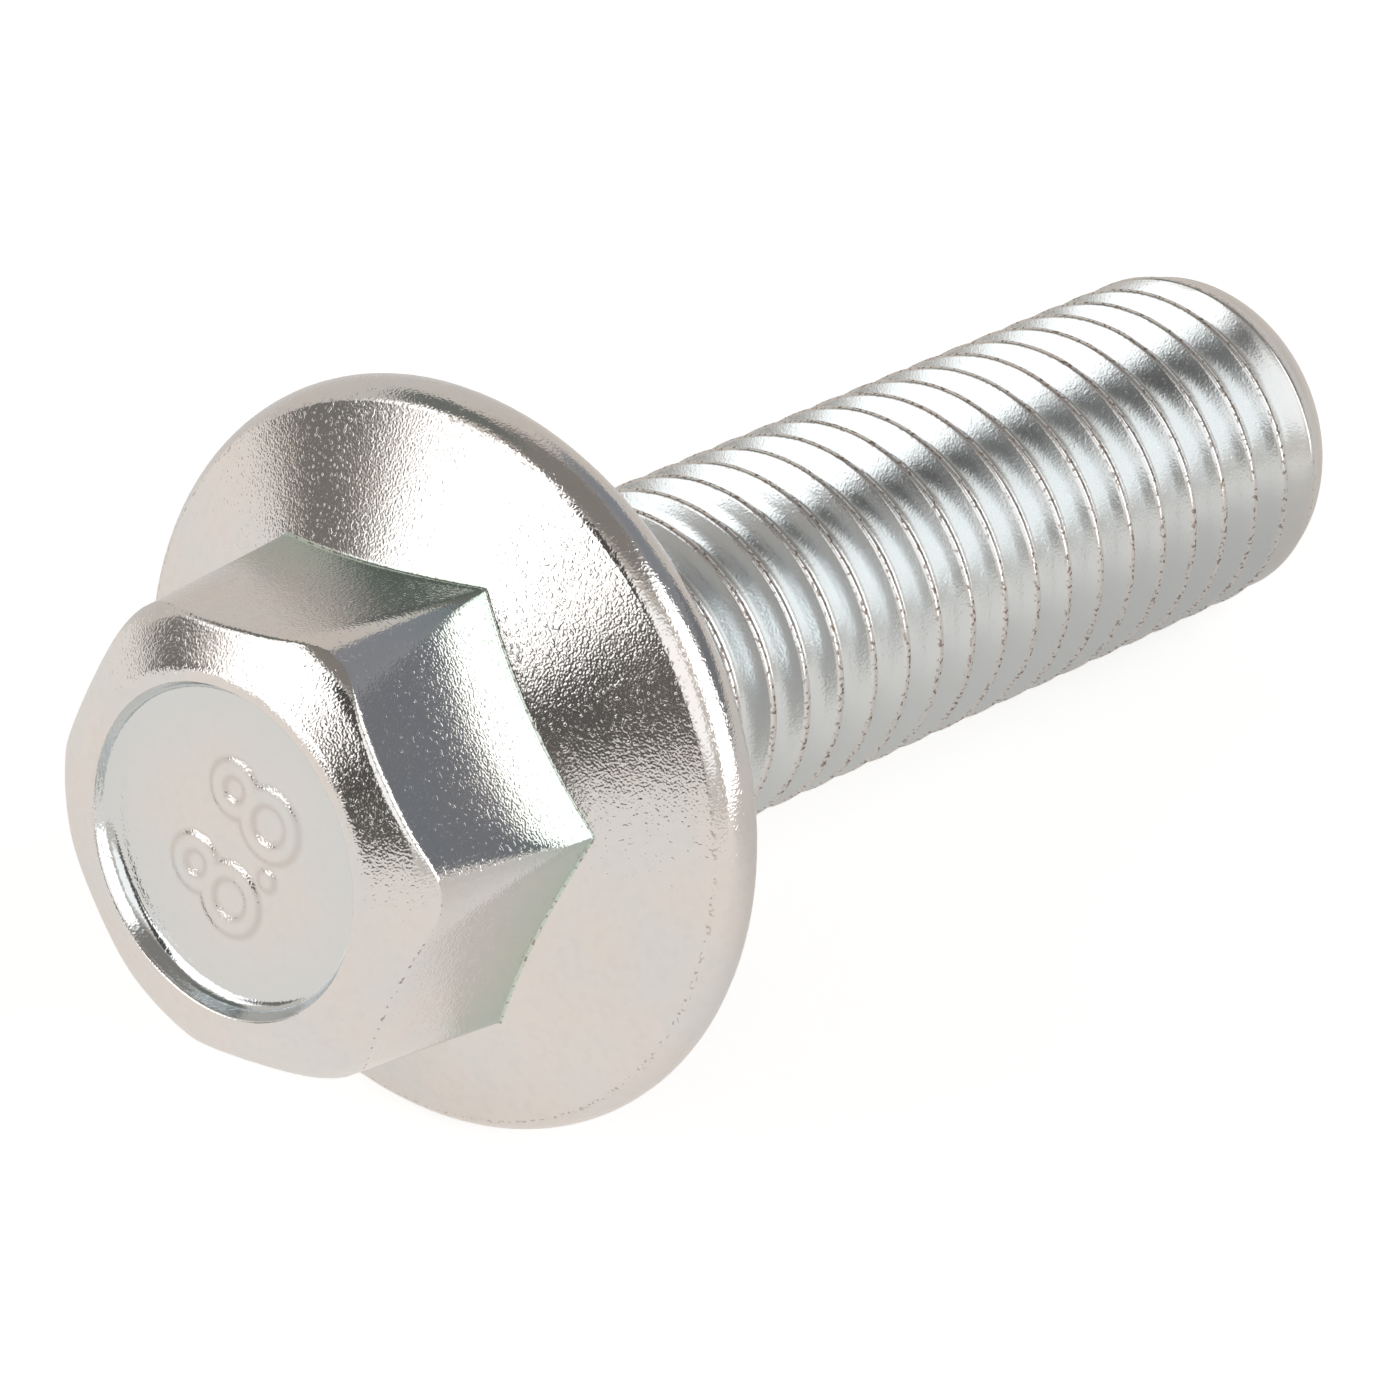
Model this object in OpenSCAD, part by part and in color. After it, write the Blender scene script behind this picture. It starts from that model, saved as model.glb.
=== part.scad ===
// Hexagon flange bolt, cold forged in one piece, with a dished head.
// It is drawn upright about its own axis, with the bearing face at z = 0 and the head above it,
// and is then laid down on the rim of the flange and the rounded tip.

/* [Shank] */
// Major diameter of the thread
thread_d = 12; // [9:0.5:13]
// Length from the bearing face to the end of the tip
shank_l = 40; // [25:1:80]
// Radius of the rounding that leads in at the tip
tip_round = 3; // [2.7:0.1:4]
// Length of the rounded tip along the axis
tip_l = 2.6; // [1:0.1:2.6]
// Radius of the plain neck under the bearing face
neck_r = 5.45; // [4:0.05:6]
// Length of the plain neck
neck_l = 1.15; // [0.8:0.05:3]
// Fillet between the neck and the bearing face
neck_fillet = 0.8; // [0.2:0.1:0.8]

/* [Thread] */
// Pitch of the thread
pitch = 1.75; // [1:0.25:2.5]
// Width of the crest
crest_w = 0.22; // [0.1:0.01:0.4]
// Radius of the root between two flanks of 60 degrees
root_r = 0.28; // [0.1:0.01:0.3]
// Where the first crest passes the top of the lying shank, from the bearing face
crest_start = 0.885; // [0:0.005:1.75]
// Length over which the thread runs out at the neck
run_in_l = 2.9; // [1:0.1:6]
// Length over which the thread fades at the tip
run_out_l = 2.2; // [1:0.1:4]

/* [Flange] */
// Largest diameter of the flange
flange_d = 25.7; // [22:0.1:30]
// Radius of the rim on its bearing side, up to the widest line
rim_round = 1.2; // [0.6:0.1:1.6]
// Height of the edge where the cone meets the rim
rim_edge_h = 2.3; // [1.9:0.05:3]
// How far the rim leans in between the widest line and that edge
rim_lean = 0.55; // [0.1:0.05:0.7]
// Slope of the cone on top of the flange, in degrees
cone_slope = 23.5; // [12:0.5:28]

/* [Hexagon] */
// Width across the flats
hex_af = 15; // [13.5:0.25:17]
// Height of the head from the bearing face to the crown of its rim
head_h = 11.9; // [10:0.1:16]
// Radius of the ring that the crown of the rim follows
crown_ring_r = 6.4; // [6:0.05:7]
// Rounding of the crown
crown_round = 2; // [1:0.1:2.5]
// Slope of the chamfer that runs from the crown to the corners, in degrees
chamfer_slope = 45; // [30:1:60]
// Lean of the corners, which the forging fills less towards the top, in degrees
corner_lean = 4; // [0:0.5:6]
// Turn of the hexagon about the axis, with the bolt lying down
hex_turn = 40.4; // [0:0.1:60]

/* [Recess] */
// Diameter of the dish where it meets the rim
recess_d = 11.3; // [9:0.1:11.6]
// Depth of the dish below the crown
recess_depth = 0.8; // [0.6:0.05:2]
// Draft of the dish's wall, in degrees from the axis
recess_draft = 25; // [10:1:40]
// Fillet between the wall and the floor of the dish
recess_fillet = 0.25; // [0.1:0.05:0.5]

/* [Hidden] */
$fn = 96;
// Overlap of pieces that are joined
joint = 0.5;
// Nearest that a row of the thread comes to an end of the shank
end_gap = 0.12;
// Reach of a cut past the surface that it opens
clear = 2;

thread_r = thread_d / 2;
flange_r = flange_d / 2;
hex_corner_r = hex_af / sqrt(3);

// The rim of the flange swells from the cone's edge to its widest line, along one arc.
rim_rise = rim_edge_h - rim_round;
rim_arc_r = (rim_rise * rim_rise + rim_lean * rim_lean) / (2 * rim_lean);
cone_edge_r = flange_r - rim_lean;
cone_top_h = rim_edge_h + cone_edge_r * tan(cone_slope);

// The chamfer leaves the crown's arc along its tangent.
crown_h = head_h - crown_round;
chamfer_r = crown_ring_r + crown_round * sin(chamfer_slope);
chamfer_h = crown_h + crown_round * cos(chamfer_slope);

// The corners are full where the hexagon leaves the cone, and lean in from there up to the chamfer.
corner_foot_h = rim_edge_h + (cone_edge_r - hex_corner_r) * tan(cone_slope);
corner_drop = chamfer_h + chamfer_r * tan(chamfer_slope) - corner_foot_h;
corner_top_r = (hex_corner_r - corner_drop * tan(corner_lean)) / (1 - tan(chamfer_slope) * tan(corner_lean));
corner_top_h = chamfer_h - (corner_top_r - chamfer_r) * tan(chamfer_slope);

// The wall of the dish starts on the crown and leans in towards the floor.
recess_r = recess_d / 2;
recess_floor_h = head_h - recess_depth;
recess_edge_h = crown_h + sqrt(pow(crown_round, 2) - pow(crown_ring_r - recess_r, 2));
function recess_wall_r(h) = recess_r - (recess_edge_h - h) * tan(recess_draft);
// The fillet touches the floor and the leaning wall.
fillet_h = recess_floor_h + recess_fillet;
fillet_r = recess_wall_r(fillet_h) - recess_fillet / cos(recess_draft);
wall_foot_h = fillet_h - recess_fillet * sin(recess_draft);

// The bolt lies with its axis dropping towards the tip: one plane touches the rounding of the
// flange's rim and the rounding of the tip.
rim_ring_r = flange_r - rim_round;
tip_ring_r = thread_r - tip_round;
tip_ring_l = shank_l - tip_l;
tip_face_r = tip_ring_r + sqrt(tip_round * tip_round - tip_l * tip_l);
lie_a = rim_ring_r - tip_ring_r;
lie_b = tip_ring_l + rim_round;
lie_c = tip_round - rim_round;
lie_angle = acos(lie_c / norm([lie_a, lie_b])) - atan2(lie_b, lie_a);
seat_h = rim_ring_r * cos(lie_angle) - rim_round * sin(lie_angle) + rim_round;

// Thread: columns of points stand round the axis, and rows of points follow the helix.
columns = 28;
flank = tan(30);
vee_depth = (pitch - crest_w) / 2 / flank;
root_depth = vee_depth - root_r;
root_half_w = root_r * cos(30) * 0.7;
// Rows of one pitch, as the place along the axis and the share of the depth.
rows = [
  [crest_w / 2, 0],
  [pitch / 2 - root_half_w, 1],
  [pitch / 2 + root_half_w, 1],
  [pitch - crest_w / 2, 0]
];
turns = ceil(shank_l / pitch) + 2;
// The thread starts inside the neck, a little below its surface.
thread_start_l = neck_l - joint;
thread_core_r = neck_r - 0.1;
last_row = turns * len(rows) - 1;
function ease(x) = let (c = min(max(x, 0), 1)) c * c * (3 - 2 * c);
// A facet, not a corner, faces down where the lying bolt touches the floor.
function column_turn(i) = 180 + 360 * (i + 0.5) / columns;
// Distance of a point from the bearing face, before it is held to the ends of the shank.
function raw_l(k, i) = pitch * (floor(k / len(rows)) - 1) + rows[k % len(rows)][0]
  + crest_start - pitch * column_turn(i) / 360;
function is_start(k, i) = raw_l(k, i) < thread_start_l + end_gap;
function is_end(k, i) = raw_l(k, i) > shank_l - end_gap;
// Rounded tip and plain neck that the thread blends into.
function nose_r(l) = tip_ring_r + sqrt(pow(tip_round, 2) - pow(min(max(l - tip_ring_l, 0), tip_l), 2));
function run_in(l) = ease((l - neck_l) / run_in_l);
function run_out(l) = 1 - ease((l - tip_ring_l + 0.8) / run_out_l);
function skin_r(l, share) =
  thread_core_r + (nose_r(l) - thread_core_r) * run_in(l) - share * root_depth * run_in(l) * run_out(l);
function skin_point(l, i, share) =
  let (r = skin_r(l, share)) [r * cos(column_turn(i)), r * sin(column_turn(i)), -l];

// Ends of the lying bolt along X, from the centre of its bearing face.
head_reach = crown_h * cos(lie_angle) + crown_ring_r * sin(lie_angle) + crown_round;
tip_reach = shank_l * cos(lie_angle) + tip_face_r * sin(lie_angle);

// Flange: bearing side rounded, rim swollen, top a flat cone.
module flange_profile() {
  square([rim_ring_r, rim_round]);
  intersection() {
    translate([rim_ring_r, rim_round]) circle(rim_round);
    square([flange_r, rim_round]);
  }
  intersection() {
    translate([flange_r - rim_arc_r, rim_round]) circle(rim_arc_r);
    translate([flange_r - rim_arc_r, rim_round]) square([rim_arc_r, rim_rise]);
  }
  translate([0, rim_round]) square([flange_r - rim_arc_r, rim_rise]);
  polygon([[0, rim_round], [cone_edge_r - rim_lean, rim_round], [cone_edge_r, rim_edge_h], [0, cone_top_h]]);
}

// Envelope of the head: crown, chamfer and everything below them.
module head_profile() {
  polygon([
    [0, 0],
    [hex_corner_r, 0],
    [hex_corner_r, corner_foot_h],
    [corner_top_r, corner_top_h],
    [chamfer_r, chamfer_h],
    [crown_ring_r, crown_h],
    [crown_ring_r, head_h],
    [0, head_h]
  ]);
  intersection() {
    translate([crown_ring_r, crown_h]) circle(crown_round);
    translate([crown_ring_r - crown_round, crown_h]) square([2 * crown_round, crown_round]);
  }
}

// Dish in the head, cut down from above the crown.
module recess_profile() {
  cut_top_h = head_h + clear;
  polygon([
    [0, recess_floor_h],
    [fillet_r, recess_floor_h],
    [fillet_r, fillet_h],
    [recess_wall_r(wall_foot_h), wall_foot_h],
    [recess_r, recess_edge_h],
    [recess_r, cut_top_h],
    [0, cut_top_h]
  ]);
  intersection() {
    translate([fillet_r, fillet_h]) circle(recess_fillet);
    translate([fillet_r, recess_floor_h]) square([recess_fillet, 2 * recess_fillet]);
  }
}

// Threaded shank, from inside the neck to the flat end of the tip.
module threaded_shank() {
  start = [for (i = [0:columns - 1]) skin_point(thread_start_l, i, 0)];
  end = [for (i = [0:columns - 1]) skin_point(shank_l, i, 0)];
  skin = [for (k = [0:last_row], i = [0:columns - 1]) skin_point(raw_l(k, i), i, rows[k % len(rows)][1])];
  // A column past the last one is the first one, one pitch further along the helix.
  function at(k, i) =
    let (c = i % columns, r = i < columns ? k : k - len(rows))
      r < 0 || (r <= last_row && is_start(r, c)) ? c
      : r > last_row || is_end(r, c) ? columns + c
      : 2 * columns + r * columns + c;
  sides = [
    for (k = [0:last_row + len(rows)], i = [0:columns - 1])
      let (a = at(k, i), b = at(k, i + 1), c = at(k + 1, i + 1), d = at(k + 1, i))
        each [[a, b, c], [a, c, d]]
  ];
  ends = [[for (i = [columns - 1:-1:0]) i], [for (i = [0:columns - 1]) columns + i]];
  polyhedron(
    points = concat(start, end, skin),
    faces = concat([for (f = sides) if (f[0] != f[1] && f[1] != f[2] && f[2] != f[0]) f], ends)
  );
}

// Plain neck with the fillet under the bearing face.
module neck_profile() {
  translate([0, -neck_l]) square([neck_r, neck_l + rim_round]);
  difference() {
    translate([neck_r - joint, -neck_fillet]) square([neck_fillet + joint, neck_fillet + joint]);
    translate([neck_r + neck_fillet, -neck_fillet]) circle(neck_fillet);
  }
}

module flange_bolt() {
  color([0.78, 0.79, 0.79])
    translate([(head_reach - tip_reach) / 2, 0, seat_h])
      rotate([0, lie_angle - 90, 0]) {
        difference() {
          union() {
            rotate_extrude() flange_profile();
            rotate_extrude() neck_profile();
            threaded_shank();
            intersection() {
              rotate([0, 0, hex_turn]) cylinder(r = hex_corner_r, h = head_h, $fn = 6);
              rotate_extrude() head_profile();
            }
          }
          rotate_extrude() recess_profile();
        }
      }
}

flange_bolt();
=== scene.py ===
# Hexagon flange bolt: one closed forging with a rolled thread, in bright zinc plate.
# The bolt is shaped upright in millimetres, then laid down in metres in the frame of the solid.
import math
from collections import namedtuple

import bpy
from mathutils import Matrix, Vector


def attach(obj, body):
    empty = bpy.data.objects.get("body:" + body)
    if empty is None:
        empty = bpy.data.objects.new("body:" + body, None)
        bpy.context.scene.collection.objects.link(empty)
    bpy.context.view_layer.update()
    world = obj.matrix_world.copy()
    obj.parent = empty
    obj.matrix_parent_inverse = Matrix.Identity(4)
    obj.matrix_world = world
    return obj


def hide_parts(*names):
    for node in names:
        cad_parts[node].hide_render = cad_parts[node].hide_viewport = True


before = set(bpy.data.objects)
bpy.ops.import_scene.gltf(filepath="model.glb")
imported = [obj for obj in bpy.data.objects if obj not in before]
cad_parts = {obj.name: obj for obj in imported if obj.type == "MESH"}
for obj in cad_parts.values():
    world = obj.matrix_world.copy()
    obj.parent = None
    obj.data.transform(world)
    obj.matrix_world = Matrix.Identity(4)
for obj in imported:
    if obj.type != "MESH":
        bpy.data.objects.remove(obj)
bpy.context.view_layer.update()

MM = 0.001
# Points closer than this are welded
WELD = 0.002

# Shank
THREAD_R = 6.0
PITCH = 1.75
SHANK_L = 40.0
TIP_ROUND = 3.0
TIP_L = 2.6
NECK_R = 5.45
NECK_FILLET = 0.8
CREST_FLAT = 0.2
CREST_BREAK = 0.04
ROOT_R = 0.38
CREST_START = 0.885
CREST_WEAR = 0.03
TURNS = 28
# The thread rises to its full depth up to here, and fades between these places near the tip
RUN_IN_END = 4.0
RUN_OUT_START = 36.6
RUN_OUT_END = 38.8
# The mesh of the tip stays this much inside the solid, and its end face has no ring below this share
TIP_MARGIN = 0.004
SMALLEST_RING = 0.02

# Flange
FLANGE_R = 12.85
RIM_ROUND = 1.2
RIM_EDGE_H = 2.3
RIM_LEAN = 0.55
CONE_SLOPE = math.radians(23.5)

# Hexagon
HEX_FLAT_R = 7.5
HEAD_H = 11.9
CROWN_RING_R = 6.4
CROWN_ROUND = 2.0
CHAMFER_SLOPE = math.radians(45)
CROWN_SLOPE = math.radians(27)
CORNER_SLOPE = math.radians(62)
CORNER_LEAN = math.radians(4)
HEX_TURN = math.radians(40.4)
FOOT_FILLET = 0.16
ARRIS_ROUND = 0.3
# A greenish shade is painted on the foot of the walls, where they meet the flange, and fades upwards
FOOT_SHADE_REACH = 4.0
FOOT_SHADE_DEPTH = 0.08

# Dish
DISH_R = 5.65
DISH_DEPTH = 0.55
DISH_DRAFT = math.radians(25)
DISH_FILLET = 0.5
DISH_LIP = 0.1

# Strength mark in the dish: figures of two rings each, given by height and radius, and a dot between
MARK_TURN = math.radians(-22)
MARK_RISE = 0.09
MARK_STROKE = 0.1
MARK_SOFT = 0.42
FIGURE_RINGS = ((0.95, 0.72), (-0.75, 0.98))
FIGURE_OFFSET = 1.75
DOT_HEIGHT = -1.6
DOT_R = 0.05

# Columns of the mesh go round the axis and stand closer at the corners of the hexagon
COLUMNS = 192
CROWD = 0.7

# Rim of the flange: one arc from its widest line to the edge of the cone
RIM_RING_R = FLANGE_R - RIM_ROUND
RIM_RISE = RIM_EDGE_H - RIM_ROUND
RIM_ARC_R = (RIM_RISE**2 + RIM_LEAN**2) / (2 * RIM_LEAN)
CONE_EDGE_R = FLANGE_R - RIM_LEAN

# Crown and chamfer of the head
CROWN_H = HEAD_H - CROWN_ROUND
CHAMFER_H = CROWN_H + CROWN_ROUND * math.cos(CHAMFER_SLOPE)
CHAMFER_R = CROWN_RING_R + CROWN_ROUND * math.sin(CHAMFER_SLOPE)
# The crown is a cone that bends down to the corners, and that bends level at the lip of the dish
BEND_R = 1.5
BEND_OUT = 0.1
BEND_DROP = 0.335
BEND_MID_R = CHAMFER_R + BEND_OUT - BEND_R * math.sin(CHAMFER_SLOPE)
BEND_MID_H = CHAMFER_H - BEND_DROP - BEND_R * math.cos(CHAMFER_SLOPE)
LIP_BEND_R = 1.2
LIP_BEND_END = DISH_R + DISH_LIP + LIP_BEND_R * math.sin(CROWN_SLOPE)
HEX_CORNER_R = HEX_FLAT_R / math.cos(math.pi / 6)
CORNER_FOOT_H = RIM_EDGE_H + (CONE_EDGE_R - HEX_CORNER_R) * math.tan(CONE_SLOPE)

# Lie of the bolt: one plane touches the rim of the flange and the rounding of the tip
TIP_RING_R = THREAD_R - TIP_ROUND
TIP_RING_L = SHANK_L - TIP_L
TIP_FACE_R = TIP_RING_R + math.sqrt(TIP_ROUND**2 - TIP_L**2)
LIE_A = RIM_RING_R - TIP_RING_R
LIE_B = TIP_RING_L + RIM_ROUND
LIE_ANGLE = math.acos((TIP_ROUND - RIM_ROUND) / math.hypot(LIE_A, LIE_B)) - math.atan2(LIE_B, LIE_A)
SEAT_H = RIM_RING_R * math.cos(LIE_ANGLE) - RIM_ROUND * math.sin(LIE_ANGLE) + RIM_ROUND
HEAD_REACH = CROWN_H * math.cos(LIE_ANGLE) + CROWN_RING_R * math.sin(LIE_ANGLE) + CROWN_ROUND
TIP_REACH = SHANK_L * math.cos(LIE_ANGLE) + TIP_FACE_R * math.sin(LIE_ANGLE)
SEAT = Vector(((HEAD_REACH - TIP_REACH) / 2, 0, SEAT_H))


class Socket:
    """An output socket that can stand in a Python expression. Each operation adds a Math node."""

    def __init__(self, sheet, out):
        self.sheet = sheet
        self.out = out

    def other(self, name):
        return Socket(self.sheet, self.out.node.outputs[name])

    def math(self, operation, *values):
        return self.sheet.add("ShaderNodeMath", {"operation": operation}, dict(enumerate(values)))

    def of(self, operation):
        return self.math(operation, self)

    def __add__(self, other):
        return self.math("ADD", self, other)

    def __radd__(self, other):
        return self.math("ADD", other, self)

    def __sub__(self, other):
        return self.math("SUBTRACT", self, other)

    def __rsub__(self, other):
        return self.math("SUBTRACT", other, self)

    def __mul__(self, other):
        return self.math("MULTIPLY", self, other)

    def __rmul__(self, other):
        return self.math("MULTIPLY", other, self)

    def __truediv__(self, other):
        return self.math("DIVIDE", self, other)

    def __neg__(self):
        return self.math("MULTIPLY", self, -1.0)

    def __pow__(self, other):
        return self.math("POWER", self, other)

    def least(self, other):
        return self.math("MINIMUM", self, other)

    def most(self, other):
        return self.math("MAXIMUM", self, other)

    def ease(self, low, high):
        """0 below low, 1 above high and a soft step between them."""
        return self.sheet.add(
            "ShaderNodeMapRange",
            {"interpolation_type": "SMOOTHSTEP"},
            {"Value": self, "From Min": low, "From Max": high},
        )


class Sheet:
    """A node tree that is written through one method."""

    def __init__(self, tree):
        self.tree = tree

    def add(self, kind, settings=None, sockets=None, give=0):
        """Adds a node, sets it up, then fills its sockets with values or links."""
        node = self.tree.nodes.new(kind)
        for name, value in (settings or {}).items():
            if name == "items":
                for _ in range(value - len(node.index_switch_items)):
                    node.index_switch_items.new()
            else:
                setattr(node, name, value)
        for name, value in (sockets or {}).items():
            for one in value if isinstance(value, list) else [value]:
                self.plug(node.inputs[name], one)
        return Socket(self, node.outputs[give]) if len(node.outputs) else None

    def plug(self, slot, value):
        if isinstance(value, Socket):
            self.tree.links.new(value.out, slot)
        else:
            slot.default_value = value

    def mix_colour(self, share, first, second):
        return self.add("ShaderNodeMix", {"data_type": "RGBA"}, {0: share, 6: first, 7: second}, give=2)


def column_angle(i):
    turn = 2 * math.pi * i / COLUMNS
    return HEX_TURN + turn - CROWD / 6 * math.sin(6 * turn)


def soft_least(a, b, blend):
    """The smaller of two lengths, with the change from one to the other rounded."""
    over = max(blend - abs(a - b), 0)
    return min(a, b) - over * over / (4 * blend)


def cone_height(r):
    return RIM_EDGE_H + (CONE_EDGE_R - r) * math.tan(CONE_SLOPE)


def crown_slope(r):
    """Slope of the crown at a distance from the axis."""
    if r < LIP_BEND_END:
        return math.asin(max(r - DISH_R - DISH_LIP, 0) / LIP_BEND_R)
    bend = (r - BEND_MID_R) / BEND_R
    return math.asin(min(max(bend, math.sin(CROWN_SLOPE)), math.sin(CORNER_SLOPE)))


def crown_height(r):
    slope = crown_slope(r)
    if r < LIP_BEND_END:
        return crown_height(LIP_BEND_END) + LIP_BEND_R * (math.cos(slope) - math.cos(CROWN_SLOPE))
    over = r - BEND_MID_R - BEND_R * math.sin(slope)
    return BEND_MID_H + BEND_R * math.cos(slope) - over * math.tan(slope)


def from_flat(angle):
    """Angle of a column from the middle of its flat."""
    return (angle - HEX_TURN) % (math.pi / 3) - math.pi / 6


def wall_radius(off_flat, h):
    """Distance of the hexagon's wall from the axis; the corners are filled less towards the top."""
    flat = HEX_FLAT_R / math.cos(off_flat)
    rise = max(h - CORNER_FOOT_H, 0)
    corner = HEX_CORNER_R - rise * math.tan(CORNER_LEAN)
    return soft_least(flat, corner, 0.02 + 0.045 * rise)


def line(start, end, steps, even=True):
    """Points from start up to, but not with, end; closer at both ends unless they are even."""
    points = []
    for k in range(steps):
        share = k / steps if even else 0.5 - 0.5 * math.cos(math.pi * k / steps)
        points.append((start[0] + (end[0] - start[0]) * share, start[1] + (end[1] - start[1]) * share))
    return points


def arc(centre, radius, start, end, steps):
    """Points of an arc from start up to, but not with, end; angles go from the radius to the axis."""
    points = []
    for k in range(steps):
        a = start + (end - start) * k / steps
        points.append((centre[0] + radius * math.cos(a), centre[1] + radius * math.sin(a)))
    return points


def mark_height(x, y):
    """Rise of the raised strength mark over the floor of the dish, from 0 to 1."""
    u = x * math.cos(MARK_TURN) + y * math.sin(MARK_TURN)
    v = y * math.cos(MARK_TURN) - x * math.sin(MARK_TURN)
    gap = math.hypot(u, v - DOT_HEIGHT) - DOT_R
    for side in (-FIGURE_OFFSET, FIGURE_OFFSET):
        for middle, ring in FIGURE_RINGS:
            gap = min(gap, abs(math.hypot(u - side, v - middle) - ring))
    share = min(max((MARK_STROKE + MARK_SOFT - gap) / MARK_SOFT, 0), 1)
    return share * share * (3 - 2 * share)


def head_column(angle):
    """One column of the head: points as radius and height from the neck to the dish's middle, and
    the wear of some of them for nicks on edges, which is negative beside the strokes of the mark and
    there paints shade on their slopes."""
    off_flat = from_flat(angle)
    rows = []

    # Bearing face and rim
    rows += line((NECK_R + NECK_FILLET, 0), (RIM_RING_R, 0), 6)
    rows += arc((RIM_RING_R, RIM_ROUND), RIM_ROUND, -math.pi / 2, 0, 8)
    rim_end = math.asin(RIM_RISE / RIM_ARC_R)
    rows += arc((FLANGE_R - RIM_ARC_R, RIM_ROUND), RIM_ARC_R, 0, rim_end, 7)
    edges = {len(rows): 0.6}

    # Cone of the flange, and the fillet at the foot of the hexagon
    foot_r = wall_radius(off_flat, CORNER_FOOT_H)
    fillet_r = foot_r + FOOT_FILLET
    fillet_h = cone_height(fillet_r) + FOOT_FILLET / math.cos(CONE_SLOPE)
    cone_end_r = fillet_r - FOOT_FILLET * math.sin(CONE_SLOPE)
    rows += line((CONE_EDGE_R, RIM_EDGE_H), (cone_end_r, cone_height(cone_end_r)), 14, even=False)
    edges[len(rows) + 1] = 0.8
    edges[len(rows) + 2] = 0.8
    rows += arc((fillet_r, fillet_h), FOOT_FILLET, -math.pi / 2 - CONE_SLOPE, -math.pi, 4)

    # Wall of the hexagon up to the arris
    arris_r = wall_radius(off_flat, crown_height(HEX_CORNER_R))
    for _ in range(3):
        arris_r = wall_radius(off_flat, crown_height(arris_r))
    lean = crown_slope(arris_r)
    wall_top_h = crown_height(arris_r) - ARRIS_ROUND * math.tan((math.pi / 2 - lean) / 2)
    for r, h in line((0, fillet_h), (0, wall_top_h), 22, even=False):
        rows.append((wall_radius(off_flat, h), h))
    top_r = wall_radius(off_flat, wall_top_h)
    edges[len(rows) + 2] = 1.0
    rows += arc((top_r - ARRIS_ROUND, wall_top_h), ARRIS_ROUND, 0, math.pi / 2 - lean, 4)

    # Chamfer and crown, then the lip, the wall and the floor of the dish
    crown_start = top_r - ARRIS_ROUND + ARRIS_ROUND * math.sin(lean)
    lip_r = DISH_R + DISH_LIP
    lip_h = crown_height(lip_r) - DISH_LIP
    for r, _ in line((crown_start, 0), (lip_r, 0), 22):
        rows.append((r, crown_height(r)))
    rows += arc((lip_r, lip_h), DISH_LIP, math.pi / 2, math.pi - DISH_DRAFT, 6)
    wall_r = lip_r - DISH_LIP * math.cos(DISH_DRAFT)
    wall_h = lip_h + DISH_LIP * math.sin(DISH_DRAFT)
    floor_h = HEAD_H - DISH_DEPTH
    fillet_h = floor_h + DISH_FILLET
    wall_foot_h = fillet_h - DISH_FILLET * math.sin(DISH_DRAFT)
    wall_foot_r = wall_r - (wall_h - wall_foot_h) * math.tan(DISH_DRAFT)
    rows += line((wall_r, wall_h), (wall_foot_r, wall_foot_h), 4, even=False)
    turn_r = wall_foot_r - DISH_FILLET * math.cos(DISH_DRAFT)
    rows += arc((turn_r, fillet_h), DISH_FILLET, -DISH_DRAFT, -math.pi / 2, 6)
    for r, h in line((turn_r, floor_h), (0, floor_h), 44):
        rise = mark_height(r * math.cos(angle), r * math.sin(angle))
        # Negative values paint shade on the slopes of the strokes of the mark
        edges[len(rows)] = -4 * rise * (1 - rise)
        rows.append((r, h + MARK_RISE * rise))
    rows.append((0, floor_h + MARK_RISE * mark_height(0, 0)))
    return rows, edges


def head_mesh():
    """The head and the flange upright, open where the neck of the shank joins."""
    points, faces = [], []
    traits = {"edge": [], "hollow": [], "film": []}
    for i in range(COLUMNS):
        angle = column_angle(i)
        rows, edges = head_column(angle)
        for j, (r, h) in enumerate(rows):
            points.append((r * math.cos(angle), r * math.sin(angle), h))
            in_dish = r < DISH_R and h > CORNER_FOOT_H
            on_wall = abs(r - wall_radius(from_flat(angle), h)) < FOOT_SHADE_DEPTH
            traits["edge"].append(edges.get(j, 0.0))
            # hollow: share of a cooler, darker tone painted as shade, growing towards the wall of the
            # dish
            traits["hollow"].append(0.9 * (r / DISH_R) ** 2 if in_dish else 0.0)
            # Painted shade, tinted green, at the foot of the walls
            traits["film"].append(max(1 - abs(h - CORNER_FOOT_H) / FOOT_SHADE_REACH, 0) if on_wall else 0.0)
    count = len(rows)
    for i in range(COLUMNS):
        here, there = i * count, (i + 1) % COLUMNS * count
        for j in range(count - 1):
            faces.append((here + j, there + j, there + j + 1, here + j + 1))
    mesh = bpy.data.meshes.new("flange_bolt_plated")
    mesh.from_pydata(points, [], faces)
    for name, values in traits.items():
        mesh.attributes.new(name, "FLOAT", "POINT").data.foreach_set("value", values)
    return mesh


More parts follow.
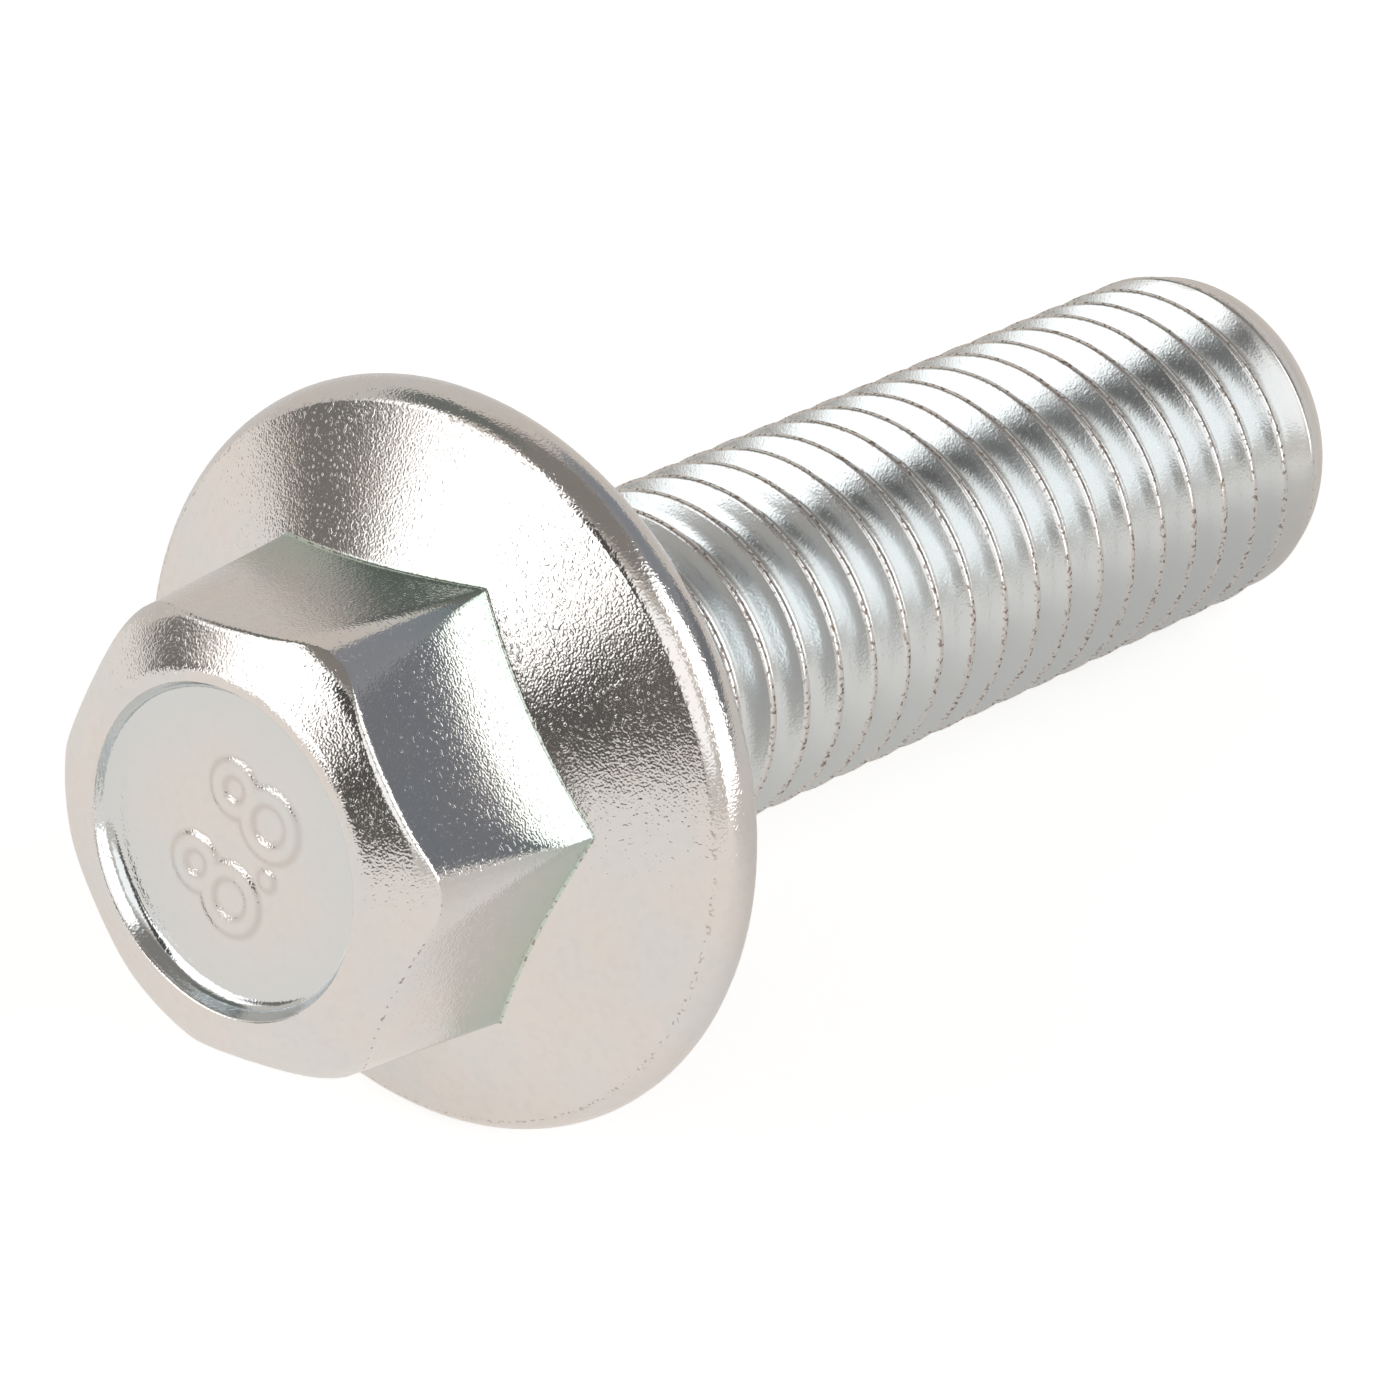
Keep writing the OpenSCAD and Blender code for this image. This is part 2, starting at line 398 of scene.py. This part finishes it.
def thread_tree():
    """Geometry nodes that add the threaded shank to the head, weld them and lay the bolt down."""
    tree = bpy.data.node_groups.new("rolled_thread", "GeometryNodeTree")
    sheet = Sheet(tree)
    ports = {}

    def port(name, kind, value=None):
        ports[name] = tree.interface.new_socket(name, in_out="INPUT", socket_type=kind)
        if value is not None:
            ports[name].default_value = value

    port("Head", "NodeSocketGeometry")
    sizes = {
        "Thread radius": THREAD_R,
        "Pitch": PITCH,
        "Crest flat": CREST_FLAT,
        "Crest break": CREST_BREAK,
        "Root radius": ROOT_R,
        "Crest start": CREST_START,
        "Crest unevenness": CREST_WEAR,
        "Shank length": SHANK_L - TIP_MARGIN,
        "Tip round": TIP_ROUND,
        "Tip length": TIP_L,
        "Neck radius": NECK_R,
        "Neck fillet": NECK_FILLET,
    }
    for name, value in sizes.items():
        port(name, "NodeSocketFloat", value)
    port("Plate", "NodeSocketMaterial")
    tree.interface.new_socket("Bolt", in_out="OUTPUT", socket_type="NodeSocketGeometry")
    given = sheet.add("NodeGroupInput")
    size = {name: given.other(name) for name in ports}

    # Grid of columns round the axis and rows that follow the helix
    stations = 12
    rows = TURNS * stations + 1
    grid = sheet.add(
        "GeometryNodeMeshGrid",
        {},
        {"Size X": 1.0, "Size Y": 1.0, "Vertices X": COLUMNS + 1, "Vertices Y": rows},
    )
    cross = sheet.add("ShaderNodeSeparateXYZ", {}, {0: sheet.add("GeometryNodeInputPosition")})
    turn = (cross + 0.5) * (2 * math.pi)
    angle = turn - (turn * 6).of("SINE") * (CROWD / 6) + HEX_TURN
    row = ((cross.other("Y") + 0.5) * (rows - 1)).of("ROUND")
    pitch_no = (row / stations + 0.001).of("FLOOR")
    station = row - pitch_no * stations

    # Thread profile: places along one pitch, from the middle of the crest, and drops below the crest
    pitch, flat, cut, root = size["Pitch"], size["Crest flat"], size["Crest break"], size["Root radius"]
    slope = math.tan(math.pi / 6)
    half = flat / 2
    vee = (pitch / 2 - half) / slope
    break_x, break_d = half + cut * 0.5, cut * math.cos(math.pi / 6)
    near_x, near_d = half + cut * 1.5, cut * 3 * math.cos(math.pi / 6)
    turn_x = pitch / 2 - root * math.cos(math.pi / 6)
    turn_d = vee - root * 1.5
    mid_x, mid_d = (near_x + turn_x) / 2, (near_d + turn_d) / 2
    low_x, low_d = pitch / 2 - root * 0.34, vee - root * (2 - math.cos(math.asin(0.34)))
    one_way = [(half - cut, 0.0), (break_x, break_d), (near_x, near_d), (mid_x, mid_d), (turn_x, turn_d)]
    one_way.append((low_x, low_d))
    places = [x for x, d in one_way] + [pitch - x for x, d in reversed(one_way)]
    drops = [d for x, d in one_way] + [d for x, d in reversed(one_way)]
    marks = [1.0, 0.6] + [0.0] * 8 + [0.6, 1.0]
    # Share of painted shade, a cooler and darker tone, on the flanks and roots of the thread
    depths = [0.0, 0.2] + [0.9] + [1.0] * 6 + [0.9, 0.2, 0.0]

    def pick(values):
        whole = sheet.add("FunctionNodeFloatToInt", {"rounding_mode": "ROUND"}, {0: station})
        sockets = {0: whole}
        sockets.update({k + 1: value for k, value in enumerate(values)})
        return sheet.add("GeometryNodeIndexSwitch", {"data_type": "FLOAT", "items": stations}, sockets)

    raw = pick(places) + pitch * (pitch_no - 2) + size["Crest start"] - pitch * angle / (2 * math.pi)
    along = raw.most(0.0).least(size["Shank length"])

    # The thread runs out at the neck and fades on the rounded tip
    fillet, tip_round = size["Neck fillet"], size["Tip round"]
    run_in = along.ease(fillet + 0.3, RUN_IN_END)
    run_out = 1 - along.ease(RUN_OUT_START, RUN_OUT_END)
    full = run_in * run_out
    reach = (along - (size["Shank length"] - size["Tip length"])).most(0.0)
    nose = size["Thread radius"] - tip_round + (tip_round**2 - reach * reach).of("SQRT")
    hollow = (fillet - along).most(0.0)
    swell = fillet - (fillet * fillet - hollow * hollow).of("SQRT")
    blank = size["Neck radius"] + swell
    outer = blank + (nose - blank) * run_in
    ahead, aside = angle.of("COSINE"), angle.of("SINE")
    spot = sheet.add("ShaderNodeCombineXYZ", {}, {0: ahead * THREAD_R, 1: aside * THREAD_R, 2: along})
    uneven = sheet.add("ShaderNodeTexNoise", {}, {"Vector": spot, "Scale": 2.2, "Detail": 3.0}) - 0.5
    edge = pick(marks) * full
    radius = outer - pick(drops) * full - (uneven * size["Crest unevenness"]).most(0.0) * edge

    # Flat end of the tip, closed to its middle
    past = (raw - size["Shank length"]).most(0.0)
    closing = (1 - past / pitch).most(0.0)
    radius = radius * closing * closing.math("GREATER_THAN", closing, SMALLEST_RING)
    place = sheet.add("ShaderNodeCombineXYZ", {}, {0: radius * ahead, 1: radius * aside, 2: -along})
    shank = grid
    for name, value in {"edge": edge, "hollow": pick(depths) * full, "threaded": 1.0}.items():
        shank = sheet.add(
            "GeometryNodeStoreNamedAttribute",
            {"data_type": "FLOAT", "domain": "POINT"},
            {"Geometry": shank, "Name": name, "Value": value},
        )
    shank = sheet.add("GeometryNodeSetPosition", {}, {"Geometry": shank, "Position": place})
    shank = sheet.add("GeometryNodeFlipFaces", {}, {"Mesh": shank})
    shank = sheet.add("GeometryNodeMergeByDistance", {}, {"Geometry": shank, "Distance": WELD})

    # Smooth skin with one sharp edge round the tip's end
    bend = sheet.add("GeometryNodeInputMeshEdgeAngle")
    level = sheet.add("ShaderNodeSeparateXYZ", {}, {0: sheet.add("GeometryNodeInputPosition")}, give="Z")
    at_end = (-level).math("GREATER_THAN", -level, size["Shank length"] - 0.01)
    at_end = at_end * bend.math("GREATER_THAN", bend, 0.3)
    shank = sheet.add("GeometryNodeSetShadeSmooth", {}, {"Geometry": shank})
    shank = sheet.add(
        "GeometryNodeSetShadeSmooth",
        {"domain": "EDGE"},
        {"Geometry": shank, "Selection": at_end, "Shade Smooth": False},
    )

    # Both halves become one closed skin, laid down in metres
    head = sheet.add("GeometryNodeSetShadeSmooth", {}, {"Geometry": size["Head"]})
    both = sheet.add("GeometryNodeJoinGeometry", {}, {0: [head, shank]})
    skin = sheet.add("GeometryNodeMergeByDistance", {}, {"Geometry": both, "Distance": WELD})
    laid = sheet.add(
        "GeometryNodeTransform",
        {},
        {
            "Geometry": skin,
            "Translation": SEAT * MM,
            "Rotation": (0.0, LIE_ANGLE - math.pi / 2, 0.0),
            "Scale": (MM, MM, MM),
        },
    )
    real = sheet.add("GeometryNodeRealizeInstances", {}, {"Geometry": laid})
    plated = sheet.add("GeometryNodeSetMaterial", {}, {"Geometry": real, "Material": size["Plate"]})
    sheet.add("NodeGroupOutput", {}, {0: plated})
    return tree, ports


def new_material(name):
    material = bpy.data.materials.new(name)
    material.use_nodes = True
    material.node_tree.nodes.clear()
    return material, Sheet(material.node_tree)


# Zinc plate: tones, some of them painted shade, scales of the noises, and depth of the bumps in metres
ZINC_COOL = (0.71, 0.715, 0.72, 1)
ZINC_WARM = (0.74, 0.715, 0.70, 1)
ZINC_MOTTLE = (0.55, 0.55, 0.56, 1)
HOLLOW_PAINTED_SHADE = (0.655, 0.70, 0.72, 1)
FOOT_PAINTED_SHADE = (0.52, 0.645, 0.575, 1)
MARK_PAINTED_SHADE = (0.5, 0.47, 0.44, 1)
NICK_TONE = (0.28, 0.23, 0.19, 1)
GRAIN_SCALE = 12000.0
SPECK_SCALE = 7500.0
SWELL_SCALE = 2600.0
CLOUD_SCALE = 260.0
BUMP_DEPTH = 0.0000095


def zinc_plate():
    """Bright zinc plate: a mirror with a fine orange peel, warm on edges, and cooler and darker in
    hollows as painted shade.
    """
    material, sheet = new_material("zinc_plate")
    place = sheet.add("ShaderNodeTexCoord", give="Object")

    def noise(scale, detail):
        return sheet.add("ShaderNodeTexNoise", {}, {"Vector": place, "Scale": scale, "Detail": detail})

    def trait(name):
        return sheet.add("ShaderNodeAttribute", {"attribute_name": name}, give="Fac")

    grain = noise(GRAIN_SCALE, 0.0)
    speck = noise(SPECK_SCALE, 0.0)
    swell = noise(SWELL_SCALE, 1.0)
    cloud = noise(CLOUD_SCALE, 2.0)
    edge, hollow, film, threaded = trait("edge"), trait("hollow"), trait("film"), trait("threaded")

    # Tone: clouds and mottles, painted shade that is cool in hollows and green at the foot of the walls,
    # painted shade on the slopes of the mark's strokes, and nicks on edges
    tone = sheet.mix_colour(cloud.ease(0.35, 0.65), ZINC_COOL, ZINC_WARM)
    tone = sheet.mix_colour(swell.ease(0.45, 0.7) * 0.1, tone, ZINC_MOTTLE)
    # Painted shade: a cooler, darker tone in the dish and on the thread's flanks and roots
    tone = sheet.mix_colour(hollow, tone, HOLLOW_PAINTED_SHADE)
    # Painted shade, tinted green, at the foot of the walls
    tone = sheet.mix_colour(film * 0.85, tone, FOOT_PAINTED_SHADE)
    # Painted shade on the slopes of the strokes of the mark
    tone = sheet.mix_colour((-edge).most(0.0) * 0.5, tone, MARK_PAINTED_SHADE)
    nick = speck.ease(0.56, 0.68) * edge.most(0.0)
    tone = sheet.mix_colour(nick, tone, NICK_TONE)

    # Satin on the thread, rough on nicks, and a fine orange peel
    roughness = 0.08 + 0.05 * cloud.ease(0.3, 0.7) + 0.3 * nick + 0.1 * threaded
    height = (grain * 0.7 + swell * 0.35 + speck.ease(0.6, 0.8) * 0.4) * (1 - 0.6 * hollow.most(threaded))
    bump = sheet.add("ShaderNodeBump", {}, {"Strength": 1.0, "Distance": BUMP_DEPTH, "Height": height})
    shader = sheet.add(
        "ShaderNodeBsdfPrincipled",
        {},
        {"Base Color": tone, "Metallic": 1.0, "Roughness": roughness, "Normal": bump},
    )
    sheet.add("ShaderNodeOutputMaterial", {}, {"Surface": shader})
    return material


# Floor: its glow makes it white to the camera; where the plate mirrors it, the glow is warm and carries a
# painted shade that darkens it towards the tip
WHITE = (1, 1, 1, 1)
FLOOR_TONE = (0.6, 0.6, 0.6, 1)
FLOOR_MIRRORED_TONE = (1, 0.91, 0.83, 1)
FLOOR_GLOW = 0.66
FLOOR_MIRRORED_GLOW = 0.5
FLOOR_TIP_PAINTED_SHADE = 0.24


def pale_floor():
    """Plain white floor that keeps the bolt's shadow, with a painted shade towards the tip in the plate's
    reflections.
    """
    material, sheet = new_material("pale_floor")
    rays = sheet.add("ShaderNodeLightPath", give="Is Camera Ray")
    mirrored = rays.other("Is Glossy Ray").most(rays.other("Is Transmission Ray"))
    along = sheet.add("ShaderNodeSeparateXYZ", {}, {0: sheet.add("ShaderNodeTexCoord", give="Object")})
    # Painted shade: the glow that the plate mirrors darkens towards the tip
    mirrored = mirrored * (FLOOR_MIRRORED_GLOW - FLOOR_TIP_PAINTED_SHADE * along.ease(-0.03, 0.02))
    matt = sheet.add("ShaderNodeBsdfDiffuse", {}, {"Color": FLOOR_TONE})
    glow = sheet.mix_colour(rays, FLOOR_MIRRORED_TONE, WHITE)
    lift = sheet.add("ShaderNodeEmission", {}, {"Color": glow, "Strength": rays * FLOOR_GLOW + mirrored})
    both = sheet.add("ShaderNodeAddShader", {}, {0: matt, 1: lift})
    sheet.add("ShaderNodeOutputMaterial", {}, {"Surface": both})
    return material


# Studio: bearings and heights are in degrees, and bearings go from the near side (-Y) towards the tip
Panel = namedtuple("Panel", "bearing height soft level tint")
WARM = (1.0, 0.925, 0.85)
COOL = (0.96, 1.0, 1.08)
LEAF = (0.93, 1.0, 0.92)
PLAIN = (1.0, 0.985, 0.965)
ROOM_LIGHT = 0.7
PANELS = (
    # Dark ceiling and the dark parts of the room
    Panel(bearing=(-300, 300), height=(58, 120), soft=8, level=0.28, tint=WARM),
    Panel(bearing=(165, 300), height=(34, 70), soft=4, level=0.2, tint=LEAF),
    Panel(bearing=(-300, -154), height=(34, 70), soft=4, level=0.2, tint=LEAF),
    Panel(bearing=(-156, -134), height=(-12, 14), soft=3, level=0.22, tint=WARM),
    Panel(bearing=(30, 76), height=(4, 30), soft=6, level=0.22, tint=COOL),
    Panel(bearing=(30, 110), height=(28, 60), soft=6, level=0.3, tint=COOL),
    # Large soft box by the head, and the dark gaps that border it
    Panel(bearing=(-134, -93), height=(2, 58), soft=3, level=1.9, tint=PLAIN),
    Panel(bearing=(-93, -79), height=(8, 26), soft=3, level=0.1, tint=WARM),
    Panel(bearing=(-101, -78), height=(23, 56), soft=3, level=0.08, tint=WARM),
    Panel(bearing=(-106, -66), height=(1, 11), soft=2.5, level=0.13, tint=WARM),
    # Soft boxes beside it and in front
    Panel(bearing=(-152, -130), height=(20, 44), soft=3, level=1.7, tint=PLAIN),
    Panel(bearing=(-75, -26), height=(11, 46), soft=4, level=1.3, tint=PLAIN),
    Panel(bearing=(-8, 32), height=(-2, 58), soft=5, level=2.5, tint=PLAIN),
)


def within(place, span, soft):
    """1 between two limits and 0 outside them, with soft edges."""
    low, high = span
    return place.ease(low - soft, low + soft) * (1 - place.ease(high - soft, high + soft))


def tinted(level, tint):
    return tuple(level * part for part in tint) + (1,)


def studio():
    """Pale room with soft boxes and dark gaps between them, plain white behind the bolt."""
    world = bpy.data.worlds.new("studio")
    world.use_nodes = True
    world.node_tree.nodes.clear()
    sheet = Sheet(world.node_tree)
    way = sheet.add("ShaderNodeSeparateXYZ", {}, {0: sheet.add("ShaderNodeTexCoord", give="Generated")})
    aside = way.math("ARCTAN2", way, -way.other("Y")) * (180 / math.pi)
    above = way.other("Z").of("ARCSINE") * (180 / math.pi)
    light = tinted(ROOM_LIGHT, WARM)
    for panel in PANELS:
        cover = within(aside, panel.bearing, panel.soft) * within(above, panel.height, panel.soft)
        light = sheet.mix_colour(cover, light, tinted(panel.level, panel.tint))
    rays = sheet.add("ShaderNodeLightPath", give="Is Camera Ray")
    light = sheet.mix_colour(rays, light, WHITE)
    glow = sheet.add("ShaderNodeBackground", {}, {"Color": light, "Strength": 1.0})
    sheet.add("ShaderNodeOutputWorld", {}, {"Surface": glow})
    bpy.context.scene.world = world


# Bolt: the head carries the thread's nodes, and the result becomes one plain mesh
tree, ports = thread_tree()
plate = zinc_plate()
draft = bpy.data.objects.new("bolt_draft", head_mesh())
bpy.context.scene.collection.objects.link(draft)
rolling = draft.modifiers.new("rolled_thread", "NODES")
rolling.node_group = tree
rolling[ports["Plate"].identifier] = plate
shaped = draft.evaluated_get(bpy.context.evaluated_depsgraph_get())
bolt_mesh = bpy.data.meshes.new_from_object(shaped)
bolt_mesh.materials.clear()
bolt_mesh.materials.append(plate)
bolt_mesh.polygons.foreach_set("material_index", [0] * len(bolt_mesh.polygons))
draft.modifiers.remove(rolling)
bpy.data.objects.remove(draft)
bolt = bpy.data.objects.new("flange_bolt_plated", bolt_mesh)
bpy.context.scene.collection.objects.link(bolt)
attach(bolt, "root")
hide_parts("flange_bolt")

# Floor
FLOOR_HALF = 3.0
floor_mesh = bpy.data.meshes.new("floor")
corners = [(x * FLOOR_HALF, y * FLOOR_HALF, 0) for x, y in ((-1, -1), (1, -1), (1, 1), (-1, 1))]
floor_mesh.from_pydata(corners, [], [(0, 1, 2, 3)])
floor_mesh.materials.append(pale_floor())
floor = bpy.data.objects.new("floor", floor_mesh)
bpy.context.scene.collection.objects.link(floor)

studio()

# Camera, from the head's side and above
EYE = Vector((-189.18, -163.73, 184.00)) * MM
AHEAD = Vector((0.61389885, 0.53796893, -0.57768299))
SENSOR = 36.0
# Focal length as a multiple of the picture's width
FOCUS = 9000 / 1400
lens = bpy.data.cameras.new("camera")
lens.sensor_width = SENSOR
lens.lens = SENSOR * FOCUS
lens.clip_start = 0.01
camera = bpy.data.objects.new("camera", lens)
camera.location = EYE
camera.rotation_mode = "QUATERNION"
camera.rotation_quaternion = AHEAD.to_track_quat("-Z", "Y")
bpy.context.scene.collection.objects.link(camera)
bpy.context.scene.camera = camera
bpy.context.scene.view_settings.view_transform = "Standard"
